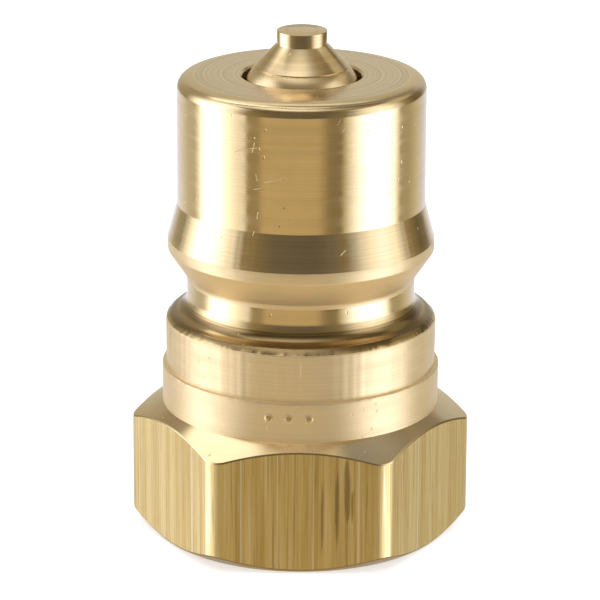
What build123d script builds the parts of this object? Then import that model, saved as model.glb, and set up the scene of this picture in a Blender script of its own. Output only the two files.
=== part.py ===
"""Quick coupling nipple, 3/8 inch size, with its spring-loaded poppet valve.

Millimetres. +Z runs up the axis towards the poppet, and the origin is the centre of the hexagon's
bottom face, which the nipple stands on. One flat of the hexagon faces -Y.
"""

import os
from math import cos, radians, sin, sqrt, tan

from build123d import *

# Hexagon, with the pipe port in its foot
hex_across_flats = 22.8
hex_corner_round = 1.85
hex_height = 9.6
hex_chamfer_angle = 32.0
hex_foot_inset = 0.4

# Turned outside, in heights that stack up from the hexagon
lower_ring_diameter = 21.13
lower_ring_height = 3.075
upper_ring_diameter = 20.54
upper_ring_height = 3.58
rim_chamfer = 0.48
neck_diameter = 17.35
neck_length = 1.35
ball_groove_radius = 1.6
underside_length = 2.15
land_diameter = 20.25
land_height = 0.85
ramp_length = 2.75
barrel_diameter = 18.8
barrel_length = 9.85
face_corner_radius = 1.05

# Pipe port, tapped 3/8-18 NPTF: the plain bore is the thread's minor diameter half way down
thread_bore_diameter = 14.5
thread_depth = 11.0
thread_mouth_diameter = 17.6

# Valve chamber
guide_bore_diameter = 13.5
chamber_diameter = 12.6
seat_width = 1.8
port_length = 2.2
port_edge_break = 0.15
seat_angle = 45.0

# Retaining ring and its groove
ring_thickness = 1.0
ring_groove_height = 0.9
ring_groove_diameter = 14.6
ring_back_width = 1.7
ring_end_width = 1.1
ring_lug_reach = 2.9
ring_lug_width = 2.6
ring_gap = 1.8
ring_plier_hole_diameter = 1.2
ring_seat_clearance = 0.05
ring_groove_side_clearance = 0.1

# Valve guide
guide_thickness = 1.6
guide_hub_diameter = 5.5
guide_hub_height = 2.8
guide_window_inner_diameter = 8.2
guide_window_outer_diameter = 12.0
guide_window_count = 3
guide_window_spoke = 2.4
guide_window_corner = 0.7
guide_fit_clearance = 0.05
guide_end_play = 0.1
stem_running_clearance = 0.05

# Poppet
poppet_proud = 3.4
nose_diameter = 3.8
nose_height = 1.0
cone_height = 1.76
cone_edge_inset = 0.55
skirt_height = 0.9
skirt_port_gap = 0.35
seat_metal_gap = 0.25
flange_flow_gap = 0.7
flange_thickness = 1.3
spring_boss_height = 1.0
stem_diameter = 4.2
tail_diameter = 3.0
tail_tip_chamfer = 0.4
poppet_travel = 4.8

# Poppet seal, an O-ring
seal_cord_diameter = 1.5
seal_flange_step = 0.25
seal_gap = 0.04
seal_seat_clearance = 0.02
seal_groove_side_clearance = 0.05

# Valve spring
spring_wire_diameter = 0.8
spring_hub_clearance = 0.2
spring_active_turns = 6
spring_end_turns = 1
spring_end_gap = 0.02
spring_ground_depth = 0.3

# Radii
hex_apothem = hex_across_flats / 2
hex_corner_radius = hex_apothem / cos(radians(30))
foot_radius = hex_apothem - hex_foot_inset
lower_ring_radius = lower_ring_diameter / 2
upper_ring_radius = upper_ring_diameter / 2
rim_radius = upper_ring_radius - rim_chamfer
neck_radius = neck_diameter / 2
land_radius = land_diameter / 2
barrel_radius = barrel_diameter / 2
thread_bore_radius = thread_bore_diameter / 2
mouth_radius = thread_mouth_diameter / 2
guide_bore_radius = guide_bore_diameter / 2
chamber_radius = chamber_diameter / 2
port_radius = chamber_radius - seat_width
ring_groove_radius = ring_groove_diameter / 2

# Heights of the outside, from the foot to the face
chamfer_slope = tan(radians(hex_chamfer_angle))
ring_base_z = hex_height + (hex_apothem - lower_ring_radius) * chamfer_slope
step_z = ring_base_z + lower_ring_height
upper_ring_top_z = step_z + upper_ring_height
rim_z = upper_ring_top_z + rim_chamfer
groove_centre_radius = neck_radius + ball_groove_radius
groove_drop = sqrt(ball_groove_radius**2 - (groove_centre_radius - rim_radius) ** 2)
neck_low_z = rim_z + groove_drop
neck_top_z = neck_low_z + neck_length
land_low_z = neck_top_z + underside_length
land_top_z = land_low_z + land_height
barrel_low_z = land_top_z + ramp_length
face_z = barrel_low_z + barrel_length

# Heights of the valve's parts inside
mouth_depth = mouth_radius - thread_bore_radius
bore_step = thread_bore_radius - guide_bore_radius
ring_low_z = thread_depth + bore_step + ring_groove_height
ring_top_z = ring_low_z + ring_thickness
ring_groove_top_z = ring_top_z + ring_groove_side_clearance
guide_top_z = ring_top_z + guide_thickness
hub_top_z = guide_top_z + guide_hub_height
chamber_low_z = guide_top_z + guide_end_play
seat_top_z = face_z - port_length
seat_slope = 1 / tan(radians(seat_angle))
seat_low_z = seat_top_z - seat_width * seat_slope


def seat_height(radius, gap):
    """Height of the cone that lies a gap inside the conical seat, at a radius."""
    return seat_top_z - (radius - port_radius) * seat_slope - gap / sin(radians(seat_angle))


# Poppet and seal heights
tip_z = face_z + poppet_proud
nose_low_z = tip_z - nose_height
cone_edge_z = nose_low_z - cone_height
skirt_low_z = cone_edge_z - skirt_height
skirt_radius = port_radius - skirt_port_gap
cone_edge_radius = skirt_radius - cone_edge_inset
flange_radius = chamber_radius - flange_flow_gap
seal_cord_radius = seal_cord_diameter / 2
seal_mean_radius = flange_radius - seal_flange_step - seal_cord_radius
seal_z = seat_height(seal_mean_radius, seal_cord_radius + seal_gap)
seal_groove_root = seal_mean_radius - seal_cord_radius - seal_seat_clearance
seal_groove_top_z = seal_z + seal_cord_radius + seal_groove_side_clearance
seal_groove_low_z = seal_z - seal_cord_radius - seal_groove_side_clearance
seal_lip_radius = port_radius + (seat_height(port_radius, seat_metal_gap) - seal_groove_top_z) / seat_slope
seat_cone_start_z = seat_height(skirt_radius, seat_metal_gap)
flange_low_z = seal_groove_low_z - flange_thickness
boss_low_z = flange_low_z - spring_boss_height
stem_step_z = hub_top_z + poppet_travel
tail_low_z = ring_top_z
tail_radius = tail_diameter / 2
hub_radius = guide_hub_diameter / 2

# Spring sizes: it stands on the guide round the hub and bears on the flange round the boss
spring_wire_radius = spring_wire_diameter / 2
spring_mean_radius = hub_radius + spring_hub_clearance + spring_wire_radius
spring_length = flange_low_z - guide_top_z
spring_end_pitch = spring_wire_diameter + spring_end_gap
spring_start_z = guide_top_z + spring_wire_radius - spring_ground_depth
spring_end_height = spring_end_turns * spring_end_pitch
spring_active_low_z = spring_start_z + spring_end_height
spring_active_height = spring_length - 2 * (spring_active_low_z - guide_top_z)


# Body: a hexagonal bar, turned above the hexagon and bored from both ends
with BuildPart() as nipple_body:
    with BuildSketch() as hexagon:
        RegularPolygon(radius=hex_apothem, side_count=6, major_radius=False)
        fillet(hexagon.vertices(), hex_corner_round)
    extrude(amount=ring_base_z)

    # both ends of the hexagon are turned back at the same angle, which scallops the flats
    foot_rise = (hex_corner_radius - foot_radius) * chamfer_slope
    corner_top_z = hex_height - (hex_corner_radius - hex_apothem) * chamfer_slope
    with BuildSketch(Plane.XZ):
        with BuildLine():
            Polyline(
                (0, 0),
                (foot_radius, 0),
                (hex_corner_radius, foot_rise),
                (hex_corner_radius, corner_top_z),
                (lower_ring_radius, ring_base_z),
                (0, ring_base_z),
                close=True,
            )
        make_face()
    revolve(axis=Axis.Z, mode=Mode.INTERSECT)

    with BuildSketch(Plane.XZ):
        with BuildLine():
            Polyline(
                (0, 0),
                (lower_ring_radius, 0),
                (lower_ring_radius, step_z),
                (upper_ring_radius, step_z),
                (upper_ring_radius, upper_ring_top_z),
                (rim_radius, rim_z),
            )
            RadiusArc((rim_radius, rim_z), (neck_radius, neck_low_z), ball_groove_radius)
            Polyline(
                (neck_radius, neck_low_z),
                (neck_radius, neck_top_z),
                (land_radius, land_low_z),
                (land_radius, land_top_z),
                (barrel_radius, barrel_low_z),
                (barrel_radius, face_z - face_corner_radius),
            )
            RadiusArc(
                (barrel_radius, face_z - face_corner_radius),
                (barrel_radius - face_corner_radius, face_z),
                -face_corner_radius,
            )
            Polyline((barrel_radius - face_corner_radius, face_z), (0, face_z), (0, 0))
        make_face()
    revolve(axis=Axis.Z)

    with BuildSketch(Plane.XZ):
        with BuildLine():
            Polyline(
                (0, 0),
                (mouth_radius, 0),
                (thread_bore_radius, mouth_depth),
                (thread_bore_radius, thread_depth),
                (guide_bore_radius, thread_depth + bore_step),
                (guide_bore_radius, ring_low_z),
                (ring_groove_radius, ring_low_z),
                (ring_groove_radius, ring_groove_top_z),
                (guide_bore_radius, ring_groove_top_z),
                (guide_bore_radius, chamber_low_z),
                (chamber_radius, chamber_low_z),
                (chamber_radius, seat_low_z),
                (port_radius, seat_top_z),
                (port_radius, face_z - port_edge_break),
                (port_radius + port_edge_break, face_z),
                (0, face_z),
                close=True,
            )
        make_face()
    revolve(axis=Axis.Z, mode=Mode.SUBTRACT)

# Poppet: nose, cone, skirt, seal groove, flange, stem and tail, turned as one piece
with BuildPart() as poppet:
    with BuildSketch(Plane.XZ):
        with BuildLine():
            Polyline(
                (0, tip_z),
                (nose_diameter / 2, tip_z),
                (nose_diameter / 2, nose_low_z),
                (cone_edge_radius, cone_edge_z),
                (skirt_radius, skirt_low_z),
                (skirt_radius, seat_cone_start_z),
                (seal_lip_radius, seal_groove_top_z),
                (seal_groove_root, seal_groove_top_z),
                (seal_groove_root, seal_groove_low_z),
                (flange_radius, seal_groove_low_z),
                (flange_radius, flange_low_z),
                (hub_radius, flange_low_z),
                (hub_radius, boss_low_z),
                (stem_diameter / 2, boss_low_z),
                (stem_diameter / 2, stem_step_z),
                (tail_radius, stem_step_z),
                (tail_radius, tail_low_z + tail_tip_chamfer),
                (tail_radius - tail_tip_chamfer, tail_low_z),
                (0, tail_low_z),
                close=True,
            )
        make_face()
    revolve(axis=Axis.Z)

# Poppet seal: an O-ring that closes on the conical seat
with BuildPart() as poppet_seal:
    with BuildSketch(Plane.XZ):
        with Locations((seal_mean_radius, seal_z)):
            Circle(seal_cord_radius)
    revolve(axis=Axis.Z)

# Valve guide: a spider whose hub carries the poppet's tail, with windows for the flow
with BuildPart() as valve_guide:
    with BuildSketch(Plane.XY.offset(ring_top_z)):
        Circle(guide_bore_radius - guide_fit_clearance)
    extrude(amount=guide_thickness)
    with BuildSketch(Plane.XY.offset(ring_top_z)):
        Circle(hub_radius)
    extrude(amount=guide_thickness + guide_hub_height)
    with BuildSketch(Plane.XY.offset(ring_top_z)) as windows:
        Circle(guide_window_outer_diameter / 2)
        Circle(guide_window_inner_diameter / 2, mode=Mode.SUBTRACT)
        with PolarLocations(guide_window_outer_diameter / 4, guide_window_count):
            Rectangle(guide_window_outer_diameter / 2, guide_window_spoke, mode=Mode.SUBTRACT)
        fillet(windows.vertices(), guide_window_corner)
    extrude(amount=guide_thickness, mode=Mode.SUBTRACT)
    with Locations((0, 0, hub_top_z)):
        Hole(tail_radius + stem_running_clearance)

# Retaining ring: a flat spring ring, thinner towards its gap, with a lug at each end for pliers
ring_outer_radius = ring_groove_radius - ring_seat_clearance
ring_inner_radius = ring_outer_radius - (ring_back_width + ring_end_width) / 2
ring_offset = (ring_back_width - ring_end_width) / 2
lug_radius = ring_lug_width / 2
lug_x = ring_gap / 2 + lug_radius
lug_y = ring_outer_radius - ring_lug_reach + lug_radius
with BuildPart() as retaining_ring:
    with BuildSketch(Plane.XY.offset(ring_low_z)):
        Circle(ring_outer_radius)
        with Locations((0, -ring_offset)):
            Circle(ring_inner_radius, mode=Mode.SUBTRACT)
        with BuildSketch(mode=Mode.PRIVATE) as lugs:
            with Locations((-lug_x, -lug_y), (lug_x, -lug_y)):
                Circle(lug_radius)
            with Locations((0, -ring_outer_radius)):
                Rectangle(ring_gap + 2 * ring_lug_width, 2 * (ring_outer_radius - lug_y))
            Circle(ring_outer_radius, mode=Mode.INTERSECT)
        add(lugs.sketch)
        with Locations((0, -ring_outer_radius)):
            Rectangle(ring_gap, 3 * ring_lug_reach, mode=Mode.SUBTRACT)
        with Locations((-lug_x, -lug_y), (lug_x, -lug_y)):
            Circle(ring_plier_hole_diameter / 2, mode=Mode.SUBTRACT)
    extrude(amount=ring_thickness)


def spring_stretch(low_z, pitch, height, start_angle):
    """One stretch of the spring's wire, wound from a height and an angle round the axis."""
    x, y = cos(radians(start_angle)), sin(radians(start_angle))
    turn = Helix(pitch, height, spring_mean_radius, center=(0, 0, low_z), mode=Mode.PRIVATE)
    with BuildPart() as stretch:
        with BuildLine():
            add(turn.rotate(Axis.Z, start_angle))
        with BuildSketch(Plane(origin=(0, 0, 0), x_dir=(x, y, 0), z_dir=(y, -x, 0))):
            with Locations((spring_mean_radius, low_z)):
                Circle(spring_wire_radius)
        sweep(is_frenet=True)
    return stretch.part


# Valve spring: active turns between two closed end turns, ground flat where they bear
with BuildPart() as valve_spring:
    active_pitch = spring_active_height / spring_active_turns
    active_start = 360 * spring_end_turns
    top_start = active_start + 360 * spring_active_turns
    top_low_z = spring_active_low_z + spring_active_height
    add(spring_stretch(spring_start_z, spring_end_pitch, spring_end_height, 0))
    add(spring_stretch(spring_active_low_z, active_pitch, spring_active_height, active_start))
    add(spring_stretch(top_low_z, spring_end_pitch, spring_end_height, top_start))
    with BuildSketch(Plane.XY.offset(guide_top_z)):
        Circle(spring_mean_radius + spring_wire_diameter)
    extrude(amount=spring_length, mode=Mode.INTERSECT)

for piece, name in (
    (nipple_body, "nipple_body"),
    (poppet, "poppet"),
    (poppet_seal, "poppet_seal"),
    (valve_guide, "valve_guide"),
    (retaining_ring, "retaining_ring"),
    (valve_spring, "valve_spring"),
):
    piece.part.label = name

os.makedirs("parts", exist_ok=True)
export_step(nipple_body.part, "parts/nipple_body.step")
export_step(poppet.part, "parts/poppet.step")
export_step(poppet_seal.part, "parts/poppet_seal.step")
export_step(valve_guide.part, "parts/valve_guide.step")
export_step(retaining_ring.part, "parts/retaining_ring.step")
export_step(valve_spring.part, "parts/valve_spring.step")
print("face height", round(face_z, 3), "overall height", round(tip_z, 3))
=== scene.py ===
"""Looks of the brass quick coupling nipple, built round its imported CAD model.

Sizes are written in millimetres, as in the part's source, and scaled to metres where they are used.
+Z runs up the axis towards the poppet, and one flat of the hexagon faces -Y.
"""

from math import asin, atan2, ceil, cos, pi, radians, sin, sqrt, tan

import bmesh
import bpy
from mathutils import Matrix, Vector, noise


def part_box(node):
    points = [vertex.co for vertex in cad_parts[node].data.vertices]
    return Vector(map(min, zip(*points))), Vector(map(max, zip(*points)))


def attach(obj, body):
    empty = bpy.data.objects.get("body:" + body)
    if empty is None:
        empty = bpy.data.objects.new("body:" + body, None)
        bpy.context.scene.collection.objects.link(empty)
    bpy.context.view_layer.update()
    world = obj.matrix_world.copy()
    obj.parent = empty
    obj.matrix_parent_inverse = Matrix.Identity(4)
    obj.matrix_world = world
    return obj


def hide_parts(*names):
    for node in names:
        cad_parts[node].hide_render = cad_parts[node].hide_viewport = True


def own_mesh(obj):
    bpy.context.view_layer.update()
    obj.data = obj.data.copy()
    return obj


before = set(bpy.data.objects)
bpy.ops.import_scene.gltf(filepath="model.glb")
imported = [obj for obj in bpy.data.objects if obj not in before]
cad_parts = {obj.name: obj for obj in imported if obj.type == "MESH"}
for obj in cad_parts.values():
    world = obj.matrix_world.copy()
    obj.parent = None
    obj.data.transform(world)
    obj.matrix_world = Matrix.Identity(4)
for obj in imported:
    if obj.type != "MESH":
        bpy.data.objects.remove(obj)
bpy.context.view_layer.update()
scene = bpy.context.scene
mm = 0.001
weld_distance = 0.0005 * mm

# Sizes that the frame gives
body_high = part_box("nipple_body")[1]
poppet_low, poppet_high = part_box("poppet")
seal_low, seal_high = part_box("poppet_seal")
guide_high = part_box("valve_guide")[1]
ring_low, ring_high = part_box("retaining_ring")
spring_low, spring_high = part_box("valve_spring")
hex_apothem = body_high.y / mm
hex_corner_radius = hex_apothem / cos(radians(30))
face_z = body_high.z / mm
tip_z = poppet_high.z / mm

# Sizes of the turned outside, as in the part's source
hex_corner_round = 1.85
hex_foot_inset = 0.4
bar_allowance = 0.3
hex_height = 9.6
chamfer_slope = tan(radians(32))
foot_radius = hex_apothem - hex_foot_inset
lower_ring_radius = 10.565
lower_ring_height = 3.075
upper_ring_radius = 10.27
upper_ring_height = 3.58
rim_chamfer = 0.48
neck_radius = 8.675
neck_length = 1.35
neck_fillet = 0.9
ball_groove_radius = 1.6
underside_length = 2.15
land_radius = 10.125
land_height = 0.85
ramp_length = 2.75
barrel_radius = 9.4
face_corner_radius = 0.9
face_corner_drop = 1.013
face_crown_radius = 3.2
face_crown_start = radians(72)

ring_base_z = hex_height + (hex_apothem - lower_ring_radius) * chamfer_slope
step_z = ring_base_z + lower_ring_height
upper_ring_top_z = step_z + upper_ring_height
rim_radius = upper_ring_radius - rim_chamfer
rim_z = upper_ring_top_z + rim_chamfer
groove_centre_radius = neck_radius + ball_groove_radius
neck_low_z = rim_z + sqrt(ball_groove_radius**2 - (groove_centre_radius - rim_radius) ** 2)
neck_top_z = neck_low_z + neck_length
land_low_z = neck_top_z + underside_length
land_top_z = land_low_z + land_height
barrel_low_z = land_top_z + ramp_length

# Sizes of the bore
mouth_radius = 8.8
thread_bore_radius = 7.25
thread_depth = 11.0
guide_bore_radius = 6.75
ring_groove_radius = 7.3
ring_groove_side_clearance = 0.1
guide_hub_height = 2.8
guide_end_play = 0.1
chamber_radius = 6.3
port_radius = 4.5
port_length = 2.2
port_edge_break = 0.15
ring_low_z = ring_low.z / mm
ring_groove_top_z = ring_high.z / mm + ring_groove_side_clearance
chamber_low_z = guide_high.z / mm - guide_hub_height + guide_end_play
seat_top_z = face_z - port_length
seat_low_z = seat_top_z - (chamber_radius - port_radius)

# Pipe thread in the port, 3/8-18 NPTF: 18 threads per inch on a taper of 1 in 16
thread_pitch = 25.4 / 18
thread_taper = 1 / 32
thread_major_radius = 8.528
thread_minor_radius = 7.398
thread_rows_per_pitch = 12
thread_fade_start = 8.6
thread_fade_length = 1.4
thread_flank_steepness = 3
thread_crest = 1.25

# Edges rounded by hand or by the tool, and burrs left along turned edges
bar_edge_break = 0.09
turned_edge_break = 0.07
poppet_edge_break = 0.05
upper_ring_burr = 0.055
lower_ring_burr = 0.045
land_burr = 0.015

# How finely round things are divided
body_steps = 288
poppet_steps = 160
arc_step = radians(6)


def arc(centre, radius, start, end):
    """Points along a round stretch of an outline, from one angle to another, ends included."""
    count = max(2, ceil(abs(end - start) / arc_step))
    angles = [start + (end - start) * i / count for i in range(count + 1)]
    return [(centre[0] + radius * cos(a), centre[1] + radius * sin(a)) for a in angles]


def turned(outline, steps):
    """A bmesh of a closed outline of radii and heights, in millimetres, turned round the axis."""
    bm = bmesh.new()
    verts = [bm.verts.new((radius * mm, 0, z * mm)) for radius, z in outline]
    edges = [bm.edges.new((verts[i - 1], verts[i])) for i in range(len(verts))]
    axis = {"cent": (0, 0, 0), "axis": (0, 0, 1)}
    bmesh.ops.spin(bm, geom=verts + edges, angle=2 * pi, steps=steps, use_merge=True, **axis)
    return bm


def divided(start, end, count):
    """Points between two points of an outline, the first left out and the last included."""
    steps = [i / count for i in range(1, count + 1)]
    return [(start[0] + (end[0] - start[0]) * t, start[1] + (end[1] - start[1]) * t) for t in steps]


def finish_piece(bm, name, body, node, materials, smooth_angle=28):
    """Makes the piece's object from its bmesh, with its materials and its place in the frame."""
    bmesh.ops.remove_doubles(bm, verts=bm.verts, dist=weld_distance)
    bmesh.ops.recalc_face_normals(bm, faces=bm.faces)
    for face in bm.faces:
        face.smooth = True
    for edge in bm.edges:
        edge.smooth = edge.smooth and edge.calc_face_angle(0) < radians(smooth_angle)
    mesh = bpy.data.meshes.new(name)
    bm.to_mesh(mesh)
    bm.free()
    piece = bpy.data.objects.new(name, mesh)
    scene.collection.objects.link(piece)
    for material in materials:
        mesh.materials.append(material)
    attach(piece, body)
    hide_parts(node)
    return piece


# Node trees

def add_node(tree, kind, inputs=None, **settings):
    """Adds a shader node, with its settings and its inputs: numbers, colours or sockets to link."""
    made = tree.nodes.new("ShaderNode" + kind)
    for key, value in settings.items():
        setattr(made, key, value)
    for key, value in (inputs or {}).items():
        if isinstance(value, bpy.types.NodeSocket):
            tree.links.new(value, made.inputs[key])
        else:
            made.inputs[key].default_value = value
    return made


def calc(tree, operation, first, second=0.0, third=0.0):
    """The value of a Math node."""
    return add_node(tree, "Math", {0: first, 1: second, 2: third}, operation=operation).outputs[0]


def remap(tree, value, low, high, new_low=0.0, new_high=1.0):
    """A value moved smoothly from one range to another, and held at its ends."""
    inputs = {"Value": value, "From Min": low, "From Max": high, "To Min": new_low, "To Max": new_high}
    return add_node(tree, "MapRange", inputs, interpolation_type="SMOOTHSTEP").outputs[0]


def blend_colours(tree, factor, first, second, mode="MIX"):
    """Two colours mixed by a factor."""
    inputs = {0: factor, 6: first, 7: second}
    return add_node(tree, "Mix", inputs, data_type="RGBA", blend_type=mode).outputs[2]


def new_group(name, inputs, outputs):
    """An empty shader node group with its sockets. Inputs are named with their default values."""
    group = bpy.data.node_groups.new(name, "ShaderNodeTree")
    for key, value in inputs.items():
        socket = group.interface.new_socket(key, in_out="INPUT", socket_type="NodeSocketFloat")
        socket.default_value = value
    for key in outputs:
        group.interface.new_socket(key, in_out="OUTPUT", socket_type="NodeSocketFloat")
    entry = group.nodes.new("NodeGroupInput")
    leave = group.nodes.new("NodeGroupOutput")
    return group, entry.outputs, leave.inputs


def turning_lines():
    """Fine tool lines round the axis, broader brighter and duller rings, and short uneven streaks."""
    inputs = {"Spacing": 0.0001, "Breaks": 0.3}
    group, given, result = new_group("turning_lines", inputs, ["Lines", "Rings", "Streaks"])
    place = add_node(group, "TexCoord").outputs["Object"]
    split = add_node(group, "SeparateXYZ", {0: place}).outputs
    flat = add_node(group, "CombineXYZ", {"X": split["X"], "Y": split["Y"]}).outputs[0]
    radius = add_node(group, "VectorMath", {0: flat}, operation="LENGTH").outputs["Value"]
    along = calc(group, "MULTIPLY_ADD", radius, 0.7, split["Z"])
    wander = add_node(group, "TexNoise", {"Vector": place, "Scale": 260.0, "Detail": 1.0}).outputs[0]
    drift = calc(group, "MULTIPLY", calc(group, "SUBTRACT", wander, 0.5), given["Breaks"])
    turns = calc(group, "ADD", calc(group, "DIVIDE", along, given["Spacing"]), drift)
    fine = {"W": turns, "Scale": 1.0, "Detail": 2.0, "Roughness": 0.6}
    lines = add_node(group, "TexNoise", fine, noise_dimensions="1D").outputs[0]
    coarse = {"W": turns, "Scale": 0.14, "Detail": 1.0, "Roughness": 0.5}
    rings = add_node(group, "TexNoise", coarse, noise_dimensions="1D").outputs[0]
    group.links.new(lines, result["Lines"])
    group.links.new(rings, result["Rings"])
    flattened = add_node(group, "Mapping", {"Vector": place, "Scale": (1, 1, 3)}).outputs[0]
    streaks = add_node(group, "TexNoise", {"Vector": flattened, "Scale": 1500.0, "Detail": 2.0}).outputs[0]
    group.links.new(streaks, result["Streaks"])
    return group


def handling_marks():
    """Small dents from handling, here and there, and faint smudges."""
    inputs = {"Size": 0.0008, "Amount": 0.5}
    group, given, result = new_group("handling_marks", inputs, ["Dents", "Smudges"])
    place = add_node(group, "TexCoord").outputs["Object"]
    scale = calc(group, "DIVIDE", 1.0, given["Size"])
    leaning = {"Vector": place, "Rotation": (0.4, 0.6, 0.2), "Scale": (1, 1, 0.6)}
    stretched = add_node(group, "Mapping", leaning).outputs[0]
    cells = add_node(group, "TexVoronoi", {"Vector": stretched, "Scale": scale}).outputs
    kept = calc(group, "GREATER_THAN", add_node(group, "SeparateColor", {0: cells["Color"]}).outputs[0], 0.62)
    dent = calc(group, "MULTIPLY", remap(group, cells["Distance"], 0.06, 0.12, 1.0, 0.0), kept)
    cloud = {"Vector": place, "Scale": 180.0, "Detail": 4.0}
    smudge = remap(group, add_node(group, "TexNoise", cloud).outputs[0], 0.45, 0.75)
    group.links.new(calc(group, "MULTIPLY", dent, given["Amount"]), result["Dents"])
    group.links.new(smudge, result["Smudges"])
    return group


# Nicks that the photograph shows: angles in degrees to the right of the front, and heights, of both ends
nick_width = 0.032
nicks = [
    (-16.2, 29.83, -6.6, 30.24), (-22.4, 32.02, -21.2, 32.75), (-23.2, 32.3, -20.2, 32.4),
    (-31.0, 31.83, -25.9, 32.25), (-20.6, 30.4, -20.0, 29.9), (-21.4, 29.22, -18.1, 29.35),
    (-20.0, 27.0, -19.5, 27.5), (16.6, 34.2, 18.0, 34.6), (19.0, 33.55, 20.4, 33.98),
    (17.7, 24.36, 20.2, 24.69), (-22.0, 25.7, -21.3, 26.0), (30.6, 33.3, 31.9, 33.6),
]
# Stretches of nicks painted near white as glints, in the same columns
glint_nicks = [(-8.5, 33.41, -3.6, 33.44), (-16.2, 29.86, -9.0, 30.16), (0.5, 16.35, 0.3, 15.2)]


def placed_nicks():
    """Short straight nicks on the turned outside, each at its own place, and painted glints along some of
    them.
    """
    group, given, result = new_group("placed_nicks", {}, ["Nicks", "Bright"])
    part = add_node(group, "SeparateXYZ", {0: add_node(group, "TexCoord").outputs["Object"]}).outputs
    front = calc(group, "MULTIPLY", part["Y"], -1.0)
    around = calc(group, "MULTIPLY", calc(group, "ARCTAN2", part["X"], front), barrel_radius * mm)
    spot = add_node(group, "CombineXYZ", {"X": around, "Y": part["Z"]}).outputs[0]
    for placed, key in ((nicks, "Nicks"), (glint_nicks, "Bright")):
        found = None
        for start_angle, start_z, end_angle, end_z in placed:
            start = Vector((radians(start_angle) * barrel_radius, start_z, 0)) * mm
            along = Vector((radians(end_angle) * barrel_radius, end_z, 0)) * mm - start
            off = add_node(group, "VectorMath", {0: spot, 1: start}, operation="SUBTRACT").outputs[0]
            reach = {0: off, 1: along / along.length_squared}
            share = add_node(group, "VectorMath", reach, operation="DOT_PRODUCT").outputs["Value"]
            share = add_node(group, "Clamp", {0: share}).outputs[0]
            nearest = add_node(group, "VectorMath", {0: along, "Scale": share}, operation="SCALE").outputs[0]
            gap = add_node(group, "VectorMath", {0: off, 1: nearest}, operation="DISTANCE").outputs["Value"]
            mark = remap(group, gap, nick_width * mm * 0.3, nick_width * mm, 1.0, 0.0)
            found = mark if found is None else calc(group, "MAXIMUM", found, mark)
        group.links.new(found, result[key])
    return group


def drawn_lines():
    """Straight lines along the bar, from the die that the hexagon was drawn through."""
    inputs = {"Spacing": 0.0003}
    group, given, result = new_group("drawn_lines", inputs, ["Lines", "Streaks"])
    place = add_node(group, "TexCoord").outputs["Object"]
    squeezed = add_node(group, "Mapping", {"Vector": place, "Scale": (1, 1, 0.02)}).outputs[0]
    scale = calc(group, "DIVIDE", 1.0, given["Spacing"])
    fine = {"Vector": squeezed, "Scale": scale, "Detail": 3.0, "Roughness": 0.6}
    broad = {"Vector": squeezed, "Scale": calc(group, "MULTIPLY", scale, 0.22), "Detail": 2.0}
    group.links.new(add_node(group, "TexNoise", fine).outputs[0], result["Lines"])
    group.links.new(add_node(group, "TexNoise", broad).outputs[0], result["Streaks"])
    return group


def new_material(name, metallic):
    """A material with its Principled shader, which is returned with the node tree."""
    material = bpy.data.materials.new(name)
    material.use_nodes = True
    tree = material.node_tree
    shader = tree.nodes["Principled BSDF"]
    shader.inputs["Metallic"].default_value = metallic
    return material, tree, shader


def use_group(tree, group, inputs):
    """Places a node group in a material, with its own values, and returns its outputs."""
    return add_node(tree, "Group", inputs, node_tree=group).outputs


def feed(tree, shader, **sockets):
    """Links values to the shader's inputs, named with underscores for spaces."""
    for key, value in sockets.items():
        tree.links.new(value, shader.inputs[key.replace("_", " ")])


def add_bump(tree, height, distance, normal=None):
    """A Bump node's normal. Distance is the height in metres from black to white."""
    inputs = {"Height": height, "Distance": distance}
    if normal:
        inputs["Normal"] = normal
    return add_node(tree, "Bump", inputs).outputs[0]


lines_group = turning_lines()
marks_group = handling_marks()
nicks_group = placed_nicks()
drawn_group = drawn_lines()

# Depths in metres of what the bump shows, and the size of a cell that may hold a dent
streak_relief = 0.0000026
dent_relief = -0.000016
die_line_relief = 0.000018
bar_dent_relief = -0.000010
rubber_grain_relief = 0.000004
steel_grain_relief = 0.000003
dent_cell = 0.0008
bar_dent_cell = 0.0009

# Colours of the brass, from bright cuts to old bar skin, with dark browns that paint shade on the foot and in
# the ball groove, and a pale brass that paints glints
brass = (0.90, 0.71, 0.42, 1)
deep_brass = (0.78, 0.57, 0.28, 1)
dull_brass = (0.66, 0.50, 0.30, 1)
bright_facing = (0.95, 0.79, 0.53, 1)
dull_facing = (0.66, 0.50, 0.31, 1)
golden_brass = (0.82, 0.62, 0.31, 1)
# Dark brass that paints shade on the foot, where the floor's contact shadow would show in it
foot_shade_brass = (0.44, 0.33, 0.17, 1)
# Brown for real stains on the flats, and for painted shade on the foot and in the ball groove
stain_and_shade_brown = (0.32, 0.22, 0.10, 1)
bar_light = (0.88, 0.69, 0.33, 1)
bar_deep = (0.70, 0.50, 0.19, 1)
bar_brown = (0.52, 0.37, 0.16, 1)
# Pale bare brass: lighter die lines of random tone, and painted glints on some nicks and die lines
bare_brass_and_glint = (0.98, 0.86, 0.62, 1)


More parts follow.
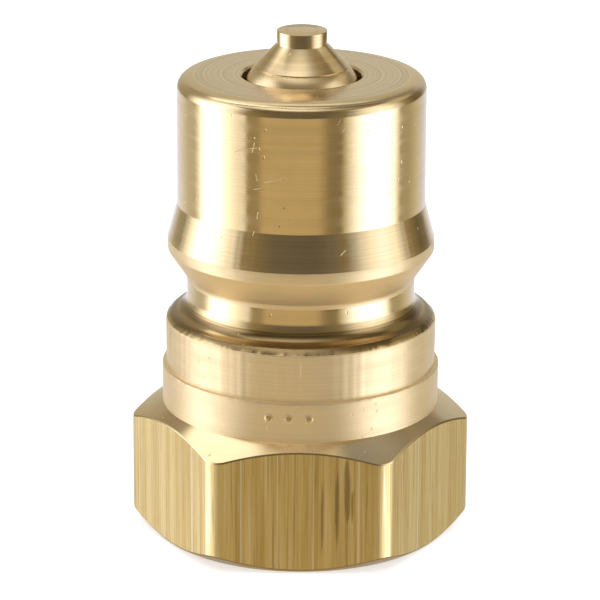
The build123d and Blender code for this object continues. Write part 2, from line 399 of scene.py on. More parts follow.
def turned_brass(name, spacing, relief, smooth, rough, light=brass, deep=deep_brass, nicked=False,
                 contrast=0.35, metallic=1.0):
    """Turned brass, with tool lines from light to deep metal and rings between two roughnesses."""
    material, tree, shader = new_material(name, metallic)
    cut = use_group(tree, lines_group, {"Spacing": spacing, "Breaks": 0.35})
    marks = use_group(tree, marks_group, {"Size": dent_cell, "Amount": 0.8})
    dents = marks["Dents"]
    shine = None
    if nicked:
        placed = use_group(tree, nicks_group, {})
        dents = calc(tree, "MAXIMUM", dents, placed["Nicks"])
        shine = placed["Bright"]
    tone = calc(tree, "MULTIPLY", remap(tree, cut["Lines"], 0.35, 0.7), contrast)
    colour = blend_colours(tree, tone, light, deep)
    colour = blend_colours(tree, calc(tree, "MULTIPLY", marks["Smudges"], 0.25), colour, dull_brass)
    colour = blend_colours(tree, calc(tree, "MULTIPLY", dents, 0.5), colour, light)
    finish = remap(tree, cut["Rings"], 0.3, 0.7, smooth, rough)
    finish = calc(tree, "MULTIPLY_ADD", dents, 0.2, finish)
    finish = calc(tree, "MULTIPLY_ADD", marks["Smudges"], 0.05, finish)
    # Some nicks are painted near white and made rougher, as glints
    if shine:
        colour = blend_colours(tree, calc(tree, "MULTIPLY", shine, 0.9), colour, bare_brass_and_glint)
        finish = calc(tree, "MULTIPLY_ADD", shine, 0.4, finish)
    lines = add_bump(tree, cut["Lines"], relief)
    if nicked:
        lines = add_bump(tree, cut["Streaks"], streak_relief, normal=lines)
    struck = add_bump(tree, dents, dent_relief, normal=lines)
    feed(tree, shader, Base_Color=colour, Roughness=finish, Normal=struck)
    return material


# Stains, and die lines painted bright as glints, on the front flats: angle and height of the middle, and half
# sizes
flat_stains = [(17.6, 6.6, 0.26, 2.6), (19.3, 5.3, 0.10, 1.4), (14.2, 5.2, 0.14, 3.2), (8.6, 4.4, 0.10, 3.0)]
glint_die_lines = [(-20.8, 0.10), (21.4, 0.16), (51.0, 0.12), (-42.5, 0.14), (5.5, 0.06), (-8.0, 0.07)]


def flat_marks():
    """Brown stains, and die lines painted bright as glints, along the bar, each at its own place on the front
    flats.
    """
    group, given, result = new_group("flat_marks", {}, ["Stains", "Bright"])
    place = add_node(group, "TexCoord").outputs["Object"]
    part = add_node(group, "SeparateXYZ", {0: place}).outputs
    front = calc(group, "MULTIPLY", part["Y"], -1.0)
    turn = calc(group, "ARCTAN2", part["X"], front)
    grained = add_node(group, "Mapping", {"Vector": place, "Scale": (1, 1, 0.12)}).outputs[0]
    fray = add_node(group, "TexNoise", {"Vector": grained, "Scale": 3200.0, "Detail": 4.0}).outputs[0]
    ragged = calc(group, "MULTIPLY_ADD", fray, 2.4, -1.2)
    stains = None
    for angle, height, half_width, half_height in flat_stains:
        steepness = hex_apothem / half_width
        across = calc(group, "MULTIPLY_ADD", turn, steepness, -radians(angle) * steepness)
        up = calc(group, "MULTIPLY_ADD", part["Z"], 1 / (half_height * mm), -height / half_height)
        across = calc(group, "ADD", calc(group, "POWER", calc(group, "ABSOLUTE", across), 1.5), ragged)
        far = calc(group, "ADD", across, calc(group, "POWER", calc(group, "ABSOLUTE", up), 3.0))
        mark = remap(group, far, 0.2, 1.3, 1.0, 0.0)
        stains = mark if stains is None else calc(group, "MAXIMUM", stains, mark)
    bright = None
    for angle, half_width in glint_die_lines:
        off = calc(group, "ABSOLUTE", calc(group, "SUBTRACT", turn, radians(angle)))
        mark = remap(group, off, 0.0, half_width / hex_apothem, 1.0, 0.0)
        bright = mark if bright is None else calc(group, "MAXIMUM", bright, mark)
    group.links.new(stains, result["Stains"])
    group.links.new(bright, result["Bright"])
    return group


def hexagon_brass():
    """Drawn hexagon bar, as it came: straight die lines, duller streaks, a few dark stains, and painted
    glints on some die lines.
    """
    material, tree, shader = new_material("drawn_hexagon_brass", 1.0)
    drawn = use_group(tree, drawn_group, {"Spacing": 0.00018})
    marks = use_group(tree, marks_group, {"Size": bar_dent_cell, "Amount": 0.8})
    placed = use_group(tree, flat_group, {})
    tone = remap(tree, drawn["Streaks"], 0.36, 0.66)
    colour = blend_colours(tree, calc(tree, "MULTIPLY", tone, 0.8), bar_light, bar_deep)
    dark = remap(tree, drawn["Lines"], 0.51, 0.68)
    colour = blend_colours(tree, calc(tree, "MULTIPLY", dark, 0.75), colour, bar_brown)
    light = remap(tree, drawn["Lines"], 0.45, 0.28)
    # Die lines at the listed places are painted near white as glints, over lighter lines of random tone
    light = calc(tree, "MAXIMUM", calc(tree, "MULTIPLY", light, 0.6), placed["Bright"])
    colour = blend_colours(tree, light, colour, bare_brass_and_glint)
    colour = blend_colours(tree, calc(tree, "MULTIPLY", placed["Stains"], 0.7), colour, stain_and_shade_brown)
    finish = remap(tree, drawn["Lines"], 0.3, 0.7, 0.34, 0.46)
    relief = add_bump(tree, drawn["Lines"], die_line_relief)
    struck = add_bump(tree, marks["Dents"], bar_dent_relief, normal=relief)
    feed(tree, shader, Base_Color=colour, Roughness=finish, Normal=struck)
    return material


def rubber():
    """Moulded nitrile: black and matt, with a faint grain."""
    material, tree, shader = new_material("nitrile_rubber", 0.0)
    place = add_node(tree, "TexCoord").outputs["Object"]
    grain = add_node(tree, "TexNoise", {"Vector": place, "Scale": 9000.0, "Detail": 2.0}).outputs[0]
    colour = blend_colours(tree, grain, (0.012, 0.012, 0.013, 1), (0.035, 0.034, 0.033, 1))
    finish = remap(tree, grain, 0.3, 0.7, 0.42, 0.62)
    feed(tree, shader, Base_Color=colour, Roughness=finish, Normal=add_bump(tree, grain, rubber_grain_relief))
    return material


def steel(name, light, dark, smooth, rough, spacing):
    """Drawn or stamped steel with a fine grain and a film of oil in patches."""
    material, tree, shader = new_material(name, 1.0)
    place = add_node(tree, "TexCoord").outputs["Object"]
    grain = add_node(tree, "TexNoise", {"Vector": place, "Scale": 1 / spacing, "Detail": 3.0}).outputs[0]
    film = add_node(tree, "TexNoise", {"Vector": place, "Scale": 500.0, "Detail": 2.0}).outputs[0]
    colour = blend_colours(tree, remap(tree, film, 0.4, 0.65), light, dark)
    finish = remap(tree, grain, 0.3, 0.7, smooth, rough)
    feed(tree, shader, Base_Color=colour, Roughness=finish, Normal=add_bump(tree, grain, steel_grain_relief))
    return material


flat_group = flat_marks()

# Turned brass: spacing and depth of the tool lines in metres, then the two roughnesses
barrel_brass = turned_brass("turned_brass", 0.00011, 0.0000010, 0.08, 0.17, nicked=True)
bright_brass = turned_brass("bright_turned_brass", 0.00012, 0.0000010, 0.10, 0.16)
ring_brass = turned_brass("rough_turned_brass", 0.00013, 0.0000015, 0.34, 0.42, nicked=True, metallic=0.74)
# The ball groove's brass is painted darker and browner as shade in the hollow; its tool lines keep their
# strong contrast
groove_brass_painted_shade = turned_brass("groove_brass_painted_shade", 0.00030, 0.0000060, 0.14, 0.24, light=golden_brass,
                            deep=stain_and_shade_brown, contrast=0.95)
# The foot is painted in dark brown brass as shade near the floor
foot_brass_painted_shade = turned_brass("foot_brass_painted_shade", 0.00013, 0.0000015, 0.34, 0.42, light=foot_shade_brass, deep=stain_and_shade_brown)
face_brass = turned_brass("faced_brass", 0.00013, 0.0000110, 0.18, 0.26, light=bright_facing,
                          deep=dull_facing, contrast=1.0)
bore_brass = turned_brass("bored_brass", 0.00016, 0.000003, 0.25, 0.38)
bar_brass = hexagon_brass()
poppet_brass = turned_brass("poppet_brass", 0.00024, 0.0000060, 0.12, 0.22, contrast=0.7)
skirt_brass = turned_brass("poppet_skirt_brass", 0.00018, 0.0000050, 0.20, 0.30, contrast=0.7, metallic=0.92)
guide_brass = turned_brass("guide_brass", 0.00012, 0.000002, 0.30, 0.42)
seal_rubber = rubber()
wire_steel = steel("spring_steel", (0.66, 0.65, 0.62, 1), (0.5, 0.49, 0.47, 1), 0.18, 0.32, 0.0002)
ring_steel = steel("ring_steel", (0.44, 0.43, 0.42, 1), (0.3, 0.29, 0.28, 1), 0.28, 0.45, 0.0002)


# Pieces

def soften(bm, size, angle, where):
    """Rounds the sharp edges that lie where a test of their middle says, and returns the new faces."""
    edges = []
    for edge in bm.edges:
        middle = (edge.verts[0].co + edge.verts[1].co) / 2
        if edge.calc_face_angle(0) > radians(angle) and where(middle.xy.length / mm, middle.z / mm):
            edges.append(edge)
    made = bmesh.ops.bevel(bm, geom=edges, offset=size * mm, offset_type="OFFSET", segments=2,
                           profile=0.5, affect="EDGES", material=-1, clamp_overlap=True)
    return made["faces"]


def body_outline():
    """The body's outline of radii and heights: up the outside, and down the bore."""
    bar_radius = hex_corner_radius + bar_allowance
    groove = arc((groove_centre_radius, neck_low_z), ball_groove_radius,
                 pi + asin((neck_low_z - rim_z) / ball_groove_radius), pi)
    lean = atan2(land_radius - neck_radius, underside_length)
    fillet_centre = (neck_radius + neck_fillet, neck_top_z - neck_fillet * tan(lean / 2))
    fillet = arc(fillet_centre, neck_fillet, pi, pi - lean)
    # the corner under the face is rounded tightly, and runs out flatter towards the middle
    corner_x, corner_z = barrel_radius - face_corner_radius, face_z - face_corner_drop
    corner = arc((corner_x, corner_z), face_corner_radius, 0, face_crown_start)
    further = face_crown_radius - face_corner_radius
    crown = (corner_x - further * cos(face_crown_start), corner_z - further * sin(face_crown_start))
    corner += arc(crown, face_crown_radius, face_crown_start, pi / 2)[1:]
    corner[-1] = (corner[-1][0], face_z)
    thread_rows = round(thread_depth / thread_pitch * thread_rows_per_pitch)
    bore_step = thread_bore_radius - guide_bore_radius
    return [
        (foot_radius, 0),
        (bar_radius, (bar_radius - foot_radius) * chamfer_slope),
        (bar_radius, hex_height - (bar_radius - hex_apothem) * chamfer_slope),
        (lower_ring_radius, ring_base_z),
        *divided((lower_ring_radius, ring_base_z), (lower_ring_radius, step_z), 12),
        (upper_ring_radius, step_z),
        (upper_ring_radius, upper_ring_top_z),
        *groove,
        *fillet,
        (land_radius, land_low_z),
        (land_radius, land_top_z),
        (barrel_radius, barrel_low_z),
        *corner,
        (port_radius + port_edge_break, face_z),
        (port_radius, face_z - port_edge_break),
        (port_radius, seat_top_z),
        (chamber_radius, seat_low_z),
        (chamber_radius, chamber_low_z),
        (guide_bore_radius, chamber_low_z),
        (guide_bore_radius, ring_groove_top_z),
        (ring_groove_radius, ring_groove_top_z),
        (ring_groove_radius, ring_low_z),
        (guide_bore_radius, ring_low_z),
        (guide_bore_radius, thread_depth + bore_step),
        (thread_bore_radius, thread_depth),
        *divided((thread_bore_radius, thread_depth), (thread_bore_radius, 0), thread_rows),
    ]


def cut_bar(bm, angle, reach):
    """Cuts the bar off square to a direction at a distance from the axis, and closes the cut."""
    out = Vector((cos(angle), sin(angle), 0))
    faces = [face for face in bm.faces if max(vert.co.dot(out) for vert in face.verts) > reach * mm]
    edges = {edge for face in faces for edge in face.edges}
    verts = {vert for face in faces for vert in face.verts}
    cut = bmesh.ops.bisect_plane(bm, geom=list(verts) + list(edges) + faces, dist=1e-8,
                                 plane_co=out * reach * mm, plane_no=out, clear_outer=True)
    rim = [item for item in cut["geom_cut"] if isinstance(item, bmesh.types.BMEdge)]
    bmesh.ops.contextual_create(bm, geom=rim)


# Degrees from a corner's middle at which its rounding is cut, the outer ones first
corner_cuts = (-22.5, 22.5, -15, 15, -7.5, 7.5, 0)


def cut_hexagon(bm):
    """Cuts the six flats, and then the bar's rounded corners in narrow facets."""
    for side in range(6):
        cut_bar(bm, radians(30 + 60 * side), hex_apothem)
    centre = (hex_apothem - hex_corner_round) / cos(radians(30))
    for corner in range(6):
        for lean in corner_cuts:
            reach = centre * cos(radians(lean)) + hex_corner_round
            cut_bar(bm, radians(60 * corner + lean), reach)


# Three punched dots on the lower ring, by degrees to the right of the front
dot_angles = (-12.5, -4.3, 3.8)
dot_z = 11.97
dot_radius = 0.22
dot_rim = 0.13
dot_lip = 0.05
dot_depth = 0.25
dot_cuts = 5


def punch_dots(bm):
    """Punches round dots with raised rims into the lower ring's wall."""
    def way(turn_angle):
        return Vector((sin(radians(turn_angle)), -cos(radians(turn_angle)), 0)) * lower_ring_radius * mm

    spots = [way(angle) + Vector((0, 0, dot_z * mm)) for angle in dot_angles]
    reach = (dot_radius + 2 * dot_rim) * mm
    wall = []
    for face in bm.faces:
        middle = face.calc_center_median()
        near = any((middle - spot).length < 1.7 * reach for spot in spots)
        if near and abs(middle.xy.length / mm - lower_ring_radius) < 0.02:
            wall.append(face)
    edges = list({edge for face in wall for edge in face.edges})
    bmesh.ops.subdivide_edges(bm, edges=edges, cuts=dot_cuts, use_grid_fill=True)
    for vert in bm.verts:
        for spot in spots:
            gap = (vert.co - spot).length / mm
            if gap < dot_radius + dot_rim:
                out = Vector((vert.co.x, vert.co.y, 0)).normalized()
                if gap < dot_radius:
                    lift = dot_lip - (dot_depth + dot_lip) * (1 - (gap / dot_radius) ** 2)
                else:
                    lift = dot_lip * (1 - (gap - dot_radius) / dot_rim)
                vert.co += out * lift * mm


def ruffle_edge(bm, radius, z, size):
    """Leaves a small uneven burr along a turned edge."""
    for vert in bm.verts:
        if abs(vert.co.xy.length / mm - radius) < 0.1 and abs(vert.co.z / mm - z) < 0.1:
            uneven = noise.noise(vert.co / mm * 1.6) * noise.noise(vert.co / mm * 5 + Vector((7, 3, 1)))
            vert.co.xy *= 1 + max(-0.5, min(1, 5 * uneven)) * size / radius


def cut_thread(bm):
    """Moves the port's wall to the taper thread, and opens its mouth to the countersink."""
    for vert in bm.verts:
        radius, z = vert.co.xy.length / mm, vert.co.z / mm
        if radius > thread_bore_radius + 0.01 or z > thread_depth - 0.01:
            continue
        turn = atan2(vert.co.y, vert.co.x) / (2 * pi)
        phase = (z / thread_pitch - turn) % 1
        shape = min(1, max(0, thread_crest - abs(phase - 0.5) * thread_flank_steepness))
        shape *= 1 - min(1, max(0, (z - thread_fade_start) / thread_fade_length))
        low = max(thread_minor_radius - z * thread_taper, 0)
        high = thread_major_radius - z * thread_taper
        wanted = max(low + (high - low) * shape, mouth_radius - z)
        vert.co.xy *= wanted / radius


def make_body():
    bm = turned(body_outline(), body_steps)
    cut_hexagon(bm)
    bmesh.ops.recalc_face_normals(bm, faces=bm.faces)
    rims = set(soften(bm, bar_edge_break, 20,
                      lambda radius, z: radius > hex_apothem - 1 and z < hex_height + 0.2))
    for edge in {edge for face in rims for edge in face.edges}:
        edge.smooth = all(face in rims for face in edge.link_faces)
    soften(bm, turned_edge_break, 12,
           lambda radius, z: radius > neck_radius - 0.1 and z > ring_base_z + 0.2)
    ruffle_edge(bm, upper_ring_radius, upper_ring_top_z, upper_ring_burr)
    ruffle_edge(bm, lower_ring_radius, step_z, lower_ring_burr)
    ruffle_edge(bm, land_radius, land_top_z, land_burr)
    cut_thread(bm)
    punch_dots(bm)
    bm.normal_update()
    for face in bm.faces:
        middle = face.calc_center_median()
        radius, z = middle.xy.length / mm, middle.z / mm
        on_bar = radius > hex_apothem - 0.2 and abs(face.normal.z) < 0.1 and z < hex_height
        if on_bar:
            face.material_index = 1
        elif radius < port_radius + 0.05 or radius < thread_major_radius and z < seat_top_z:
            face.material_index = 3
        elif face.normal.z > 0.99 and z > face_z - 0.01:
            face.material_index = 2
        # the foot, painted dark as shade near the floor
        elif z < 2:
            face.material_index = 5
        elif z < ring_base_z or neck_low_z - 0.5 < z < neck_top_z - 0.25:
            face.material_index = 6
        # the ball groove, painted darker as shade
        elif upper_ring_top_z + 0.1 < z < neck_low_z:
            face.material_index = 7
        elif z < land_top_z:
            face.material_index = 4
    materials = [barrel_brass, bar_brass, face_brass, bore_brass, ring_brass, foot_brass_painted_shade, bright_brass,
                 groove_brass_painted_shade]
    body = finish_piece(bm, "brass_body", "nipple", "nipple_body", materials, 35)
    weight = body.modifiers.new("weighted_normals", "WEIGHTED_NORMAL")
    weight.keep_sharp = True
    return body


# Poppet sizes, as in the part's source
nose_radius = 1.9
nose_height = 1.0
cone_height = 1.76
skirt_height = 0.9
spring_boss_height = 1.0
poppet_travel = 4.8
nose_low_z = tip_z - nose_height
cone_edge_radius = 3.6
cone_edge_z = nose_low_z - cone_height
skirt_radius = 4.15
skirt_low_z = cone_edge_z - skirt_height
flange_radius = poppet_high.x / mm
seal_seat_clearance = 0.02
seal_groove_side_clearance = 0.05
seat_metal_gap = 0.25
seal_cord_radius = (seal_high.z - seal_low.z) / 2 / mm
seal_mean_radius = seal_high.x / mm - seal_cord_radius
seal_z = (seal_high.z + seal_low.z) / 2 / mm
seal_groove_root = seal_mean_radius - seal_cord_radius - seal_seat_clearance
seal_groove_top_z = seal_z + seal_cord_radius + seal_groove_side_clearance
seal_groove_low_z = seal_z - seal_cord_radius - seal_groove_side_clearance
seat_gap_drop = seat_metal_gap * sqrt(2)
seat_cone_start_z = seat_top_z - (skirt_radius - port_radius) - seat_gap_drop
seal_lip_radius = port_radius + seat_top_z - seat_gap_drop - seal_groove_top_z
flange_low_z = spring_high.z / mm
hub_radius = 2.75
boss_low_z = flange_low_z - spring_boss_height
stem_radius = 2.1
tail_radius = 1.5
hub_top_z = guide_high.z / mm
stop_gap = 0.02
stem_step_z = hub_top_z + poppet_travel + stop_gap
tail_low_z = poppet_low.z / mm
tail_tip_chamfer = 0.4


# Fine line that the tool left where cone and skirt meet: steps outwards and upwards from their edge
cone_edge_line = [(-0.05, 0.05), (-0.06, -0.03), (0.06, -0.10)]


def make_poppet():
    outline = [
        (0, tip_z),
        (nose_radius, tip_z),
        (nose_radius, nose_low_z),
        *[(cone_edge_radius + out, cone_edge_z + up) for out, up in cone_edge_line],
        (skirt_radius, skirt_low_z),
        (skirt_radius, seat_cone_start_z),
        (seal_lip_radius, seal_groove_top_z),
        (seal_groove_root, seal_groove_top_z),
        (seal_groove_root, seal_groove_low_z),
        (flange_radius, seal_groove_low_z),
        (flange_radius, flange_low_z),
        (hub_radius, flange_low_z),
        (hub_radius, boss_low_z),
        (stem_radius, boss_low_z),
        (stem_radius, stem_step_z),
        (tail_radius, stem_step_z),
        (tail_radius, tail_low_z + tail_tip_chamfer),
        (tail_radius - tail_tip_chamfer, tail_low_z),
        (0, tail_low_z),
    ]
    bm = turned(outline, poppet_steps)
    drop_axis(bm)
    soften(bm, poppet_edge_break, 20, lambda radius, z: radius > 1 and abs(z - cone_edge_z) > 0.15)
    bm.normal_update()
    for face in bm.faces:
        middle = face.calc_center_median()
        if middle.z / mm < cone_edge_z:
            face.material_index = 1
        elif middle.z / mm > nose_low_z and abs(face.normal.z) < 0.5:
            face.material_index = 2
    poppet = finish_piece(bm, "brass_poppet", "valve", "poppet",
                          [poppet_brass, skirt_brass, bright_brass], 35)
    weight = poppet.modifiers.new("weighted_normals", "WEIGHTED_NORMAL")
    weight.keep_sharp = True
    return poppet


def drop_axis(bm):
    """Merges the points on the axis and takes out the turned axis line, so that the ends are closed."""
    bmesh.ops.remove_doubles(bm, verts=bm.verts, dist=weld_distance)
    loose = [edge for edge in bm.edges if not edge.link_faces]
    bmesh.ops.delete(bm, geom=loose, context="EDGES")
    bmesh.ops.recalc_face_normals(bm, faces=bm.faces)


def make_seal():
    bm = bmesh.new()
    place = Matrix.Translation((seal_mean_radius * mm, 0, seal_z * mm)) @ Matrix.Rotation(pi / 2, 4, "X")
    ring = bmesh.ops.create_circle(bm, segments=32, radius=seal_cord_radius * mm, matrix=place)
    geom = ring["verts"] + bm.edges[:]
    bmesh.ops.spin(bm, geom=geom, cent=(0, 0, 0), axis=(0, 0, 1), angle=2 * pi, steps=128, use_merge=True)
    return finish_piece(bm, "rubber_seal", "valve", "poppet_seal", [seal_rubber], 60)


# Valve spring, as in the part's source
spring_wire_radius = 0.4
spring_mean_radius = 3.35
spring_active_turns = 6
spring_ground_depth = 0.3
spring_end_gap = 0.02
spring_end_pitch = 2 * spring_wire_radius + spring_end_gap
spring_low_z = spring_low.z / mm
spring_high_z = flange_low_z - stop_gap
spring_length = spring_high_z - spring_low_z
spring_start_z = spring_low_z + spring_wire_radius - spring_ground_depth
spring_active_height = spring_length - 2 * (spring_start_z - spring_low_z + spring_end_pitch)
spring_steps_per_turn = 48


def make_spring():
    bm = bmesh.new()
    start = Vector((spring_mean_radius, 0, spring_start_z)) * mm
    place = Matrix.Translation(start) @ Matrix.Rotation(pi / 2, 4, "X")
    ring = bmesh.ops.create_circle(bm, segments=20, radius=spring_wire_radius * mm, matrix=place)
    first = bm.edges[:]
    geom = ring["verts"] + first
    end = (1, spring_end_pitch)
    for turns, height in (end, (spring_active_turns, spring_active_height), end):
        steps = turns * spring_steps_per_turn
        wound = bmesh.ops.spin(bm, geom=geom, cent=(0, 0, 0), axis=(0, 0, 1), angle=2 * pi * turns,
                               steps=steps, dvec=(0, 0, height * mm / steps))
        geom = wound["geom_last"]
    bmesh.ops.contextual_create(bm, geom=first)
    bmesh.ops.contextual_create(bm, geom=[item for item in geom if isinstance(item, bmesh.types.BMEdge)])
    bmesh.ops.recalc_face_normals(bm, faces=bm.faces)
    for height, up in ((spring_low_z, -1), (spring_high_z, 1)):
        cut = bmesh.ops.bisect_plane(bm, geom=bm.verts[:] + bm.edges[:] + bm.faces[:], dist=1e-8,
                                     plane_co=(0, 0, height * mm), plane_no=(0, 0, up), clear_outer=True)
        rim = [item for item in cut["geom_cut"] if isinstance(item, bmesh.types.BMEdge)]
        bmesh.ops.holes_fill(bm, edges=rim, sides=0)
    spring = finish_piece(bm, "steel_spring", "nipple", "valve_spring", [wire_steel], 50)
    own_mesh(spring)
    return spring


make_body()
make_poppet()
make_seal()
make_spring()
for node, material in (("valve_guide", guide_brass), ("retaining_ring", ring_steel)):
    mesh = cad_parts[node].data
    mesh.materials.clear()
    mesh.materials.append(material)


# Floor, light and camera

camera_turn = radians(-0.3)
camera_elevation = radians(17.80)
camera_distance = 299.87
camera_pitch = radians(17.705)
camera_yaw = radians(0.0115)
camera_roll = radians(0.287)
camera_lens = 235.4
aim_height = 17.407


def make_camera():
    """The photograph's camera: a long lens, a little above, almost square to one flat."""
    data = bpy.data.cameras.new("camera")
    data.sensor_width = 36
    data.lens = camera_lens
    data.clip_start = 0.01
    data.clip_end = 20
    back = Vector((-sin(camera_turn) * cos(camera_elevation), -cos(camera_turn) * cos(camera_elevation),
                   sin(camera_elevation)))
    camera = bpy.data.objects.new("camera", data)
    turn = Matrix.Rotation(camera_yaw - camera_turn, 4, "Z") @ Matrix.Rotation(pi / 2 - camera_pitch, 4, "X")
    place = Matrix.Translation((Vector((0, 0, aim_height)) + back * camera_distance) * mm)
    camera.matrix_world = place @ turn @ Matrix.Rotation(camera_roll, 4, "Z")
    scene.collection.objects.link(camera)
    scene.camera = camera


def make_floor():
    """A round white floor, which shows white to the camera and keeps the nipple's soft shadow."""
    bm = bmesh.new()
    bmesh.ops.create_circle(bm, cap_ends=True, segments=96, radius=4.0,
                            matrix=Matrix.Translation((0, 0, -0.00002)))
    mesh = bpy.data.meshes.new("floor")
    bm.to_mesh(mesh)
    bm.free()
    floor = bpy.data.objects.new("floor", mesh)
    scene.collection.objects.link(floor)
    material = bpy.data.materials.new("white_floor")
    material.use_nodes = True
    tree = material.node_tree
    tree.nodes.clear()
    seen = add_node(tree, "LightPath").outputs["Is Camera Ray"]
    paper = add_node(tree, "BsdfDiffuse", {"Color": (0.85, 0.85, 0.85, 1)}).outputs[0]
    glow = add_node(tree, "Emission", {"Strength": 0.55}).outputs[0]
    lit = add_node(tree, "AddShader", {0: paper, 1: glow}).outputs[0]
    front = add_node(tree, "MixShader", {0: seen, 1: paper, 2: lit}).outputs[0]
    below = add_node(tree, "NewGeometry").outputs["Backfacing"]
    clear = add_node(tree, "BsdfTransparent").outputs[0]
    both = add_node(tree, "MixShader", {0: below, 1: front, 2: clear}).outputs[0]
    add_node(tree, "OutputMaterial", {"Surface": both})
    mesh.materials.append(material)
    floor.visible_glossy = False


# The studio round the nipple: levels by degrees to the right of the camera, as seen from the nipple
card_level = 3.0
plain = (1.0, 1.0, 1.0)
cool_card = (0.95, 0.97, 1.15)
warm_card = (1.0, 0.95, 0.80)
tan_wall = (1.0, 0.82, 0.50)
olive_wall = (1.0, 0.93, 0.68)
dim_wall = (1.0, 0.88, 0.68)
below_horizon = [
    (-180, 1.00, cool_card), (-160, 0.90, cool_card), (-145, 0.78, plain), (-128, 0.58, warm_card),
    (-116, 0.54, warm_card), (-110, 0.95, plain), (-103, 2.00, cool_card), (-96, 2.50, cool_card),
    (-82, 2.40, cool_card), (-73, 1.60, plain), (-63, 1.10, plain), (-54, 0.90, plain),
    (-50.5, 0.34, tan_wall), (-41, 0.34, tan_wall), (-35, 0.56, tan_wall), (15, 0.54, tan_wall),
    (26, 0.27, tan_wall), (37, 0.24, tan_wall), (41, 0.60, olive_wall), (46, 0.95, plain),
    (54, 1.60, cool_card), (64, 2.50, cool_card), (84, 2.50, cool_card), (93, 1.90, cool_card),
    (99, 1.10, plain), (104, 0.42, olive_wall), (117, 0.42, olive_wall), (129, 0.58, olive_wall),
    (141, 0.67, plain), (158, 0.84, cool_card), (180, 1.00, cool_card),
]
side_walls = [
    (-180, 0.60, warm_card), (-165, 0.52, warm_card), (-150, 0.42, dim_wall), (-140, 0.36, olive_wall),
    (-128, 0.34, olive_wall), (-120, 0.75, plain), (-112, 1.40, plain), (-103, 2.30, cool_card),
    (-84, 2.30, cool_card), (-74, 1.50, cool_card), (-66, 1.15, plain), (-58, 0.60, plain),
    (-51, 0.30, tan_wall), (-38, 0.22, tan_wall), (-25, 0.15, dim_wall), (14, 0.13, dim_wall),
    (30, 0.18, dim_wall), (40, 0.24, tan_wall), (47, 0.45, plain), (55, 0.85, plain),
    (65, 1.20, plain), (76, 1.45, cool_card), (88, 1.30, plain), (97, 0.82, plain),
    (108, 0.32, tan_wall), (125, 0.15, tan_wall), (140, 0.20, dim_wall), (152, 0.50, plain),
    (168, 0.58, warm_card), (180, 0.60, warm_card),
]
high_sides = [
    (-180, 0.55, warm_card), (-170, 0.55, warm_card), (-163, 0.50, warm_card), (-155, 0.35, dim_wall),
    (-143, 0.32, dim_wall), (-128, 0.38, dim_wall), (-118, 0.65, plain), (-108, 1.20, plain),
    (-98, 1.70, cool_card), (-84, 1.70, cool_card), (-70, 1.20, plain), (-61, 0.70, plain),
    (-53, 0.26, tan_wall), (-40, 0.15, tan_wall), (30, 0.15, tan_wall), (45, 0.22, tan_wall),
    (52, 0.40, plain), (60, 0.85, plain), (70, 1.15, plain), (84, 1.20, plain), (95, 0.85, plain),
    (104, 0.55, olive_wall), (127, 0.48, olive_wall), (140, 0.25, dim_wall), (157, 0.30, dim_wall),
    (170, 0.50, warm_card), (180, 0.55, warm_card),
]
high_gap = [
    (-180, 1.25, plain), (-158, 1.15, plain), (-147, 1.00, plain), (-138, 1.70, plain),
    (-124, 1.70, plain), (-116, 0.60, plain), (-105, 0.90, plain), (-95, 1.10, plain),
    (-82, 0.90, plain), (-72, 0.30, dim_wall), (-55, 0.16, tan_wall), (-38, 0.13, tan_wall),
    (30, 0.14, tan_wall), (45, 0.24, tan_wall), (60, 0.30, tan_wall), (82, 0.33, tan_wall),
    (112, 0.20, tan_wall), (127, 0.28, dim_wall), (152, 0.25, dim_wall), (165, 0.90, plain),
    (180, 1.25, plain),
]
overhead = [
    (-180, 0.18, dim_wall), (-168, 0.30, dim_wall), (-158, 1.00, plain), (-147, 0.85, plain),
    (-139, 1.50, plain), (-123, 1.70, plain), (-115, 0.50, plain), (-106, 0.12, dim_wall),
    (-97, 0.20, dim_wall), (-90, 0.90, plain), (-80, 1.15, plain), (-55, 1.25, plain),
    (-38, 1.25, plain), (-10, 1.22, plain), (20, 1.05, plain), (37, 0.80, plain),
    (52, 0.58, plain), (67, 0.45, dim_wall), (82, 0.33, dim_wall), (97, 0.10, dim_wall),
    (115, 0.10, dim_wall), (127, 0.45, plain), (142, 0.18, dim_wall), (157, 0.30, dim_wall),
    (180, 0.18, dim_wall),
]
zenith = [
    (-180, 1.25, warm_card), (-130, 1.30, warm_card), (-118, 0.30, dim_wall), (-60, 0.30, dim_wall),
    (-38, 0.37, plain), (30, 0.32, plain), (60, 0.40, plain), (97, 0.20, dim_wall),
    (115, 0.25, dim_wall), (127, 0.90, warm_card), (180, 1.25, warm_card),
]


# Each band of the studio with the degrees of height that it blends in over, and how far those lean
studio_bands = [(-13, -6, 0, side_walls), (20, 26, 0, high_sides), (40, 46, 0, high_gap),
                (46, 68, -6, overhead), (74, 79, -4, zenith)]
ground_light = (0.68, 0.54, 0.30)


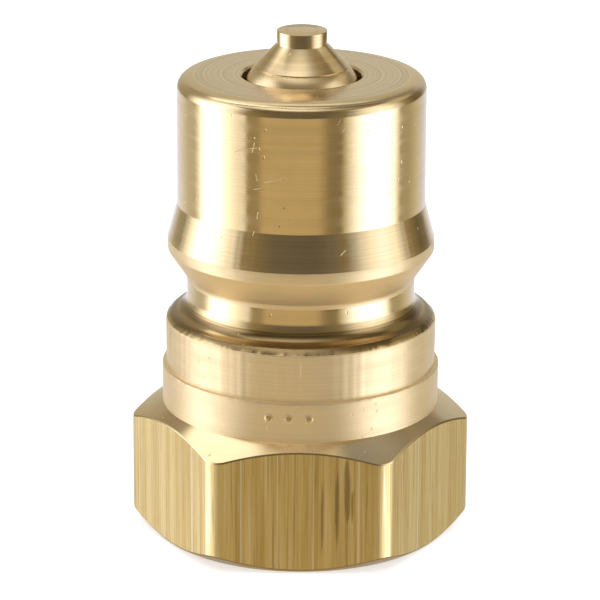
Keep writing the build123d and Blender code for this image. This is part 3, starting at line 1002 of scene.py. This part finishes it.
def card_ramp(tree, around, stops):
    """The level round the studio, as a colour ramp over the turn round the nipple."""
    ramp = add_node(tree, "ValToRGB", {"Fac": around})
    elements = ramp.color_ramp.elements
    elements.remove(elements[1])
    elements[0].position = 0
    for index, (angle, level, tint) in enumerate(stops):
        stop = elements[0] if index == 0 else elements.new(angle / 360 + 0.5)
        stop.color = (*[level / card_level * part for part in tint], 1)
    return ramp.outputs["Color"]


def make_studio():
    """White cards left, right and overhead with darker gaps for reflections, and a plain level all round."""
    world = bpy.data.worlds.new("studio")
    world.use_nodes = True
    scene.world = world
    tree = world.node_tree
    tree.nodes.clear()
    way = add_node(tree, "TexCoord").outputs["Generated"]
    turned_way = add_node(tree, "Mapping", {"Vector": way, "Rotation": (0, 0, camera_turn)}).outputs[0]
    part = add_node(tree, "SeparateXYZ", {0: turned_way}).outputs
    towards = calc(tree, "MULTIPLY", part["Y"], -1.0)
    around = calc(tree, "MULTIPLY_ADD", calc(tree, "ARCTAN2", part["X"], towards), 1 / (2 * pi), 0.5)
    height = calc(tree, "MULTIPLY", calc(tree, "ARCSINE", part["Z"]), 180 / pi)
    in_front = calc(tree, "COSINE", calc(tree, "ARCTAN2", part["X"], towards))
    room = card_ramp(tree, around, below_horizon)
    for low, high, tilt, stops in studio_bands:
        level = calc(tree, "MULTIPLY_ADD", in_front, tilt, height) if tilt else height
        room = blend_colours(tree, remap(tree, level, low, high), room, card_ramp(tree, around, stops))
    ground = [level / card_level for level in ground_light]
    room = blend_colours(tree, remap(tree, height, -50, -30, 1.0, 0.0), room, (*ground, 1))
    cards = add_node(tree, "Background", {"Color": room, "Strength": card_level}).outputs[0]
    level = add_node(tree, "Background", {"Color": (1, 1, 1, 1), "Strength": 1.0}).outputs[0]
    path = add_node(tree, "LightPath").outputs
    shown = add_node(tree, "MixShader", {0: path["Is Glossy Ray"], 1: level, 2: cards}).outputs[0]
    add_node(tree, "OutputWorld", {"Surface": shown})


make_floor()
make_studio()
make_camera()
scene.view_settings.view_transform = "Standard"
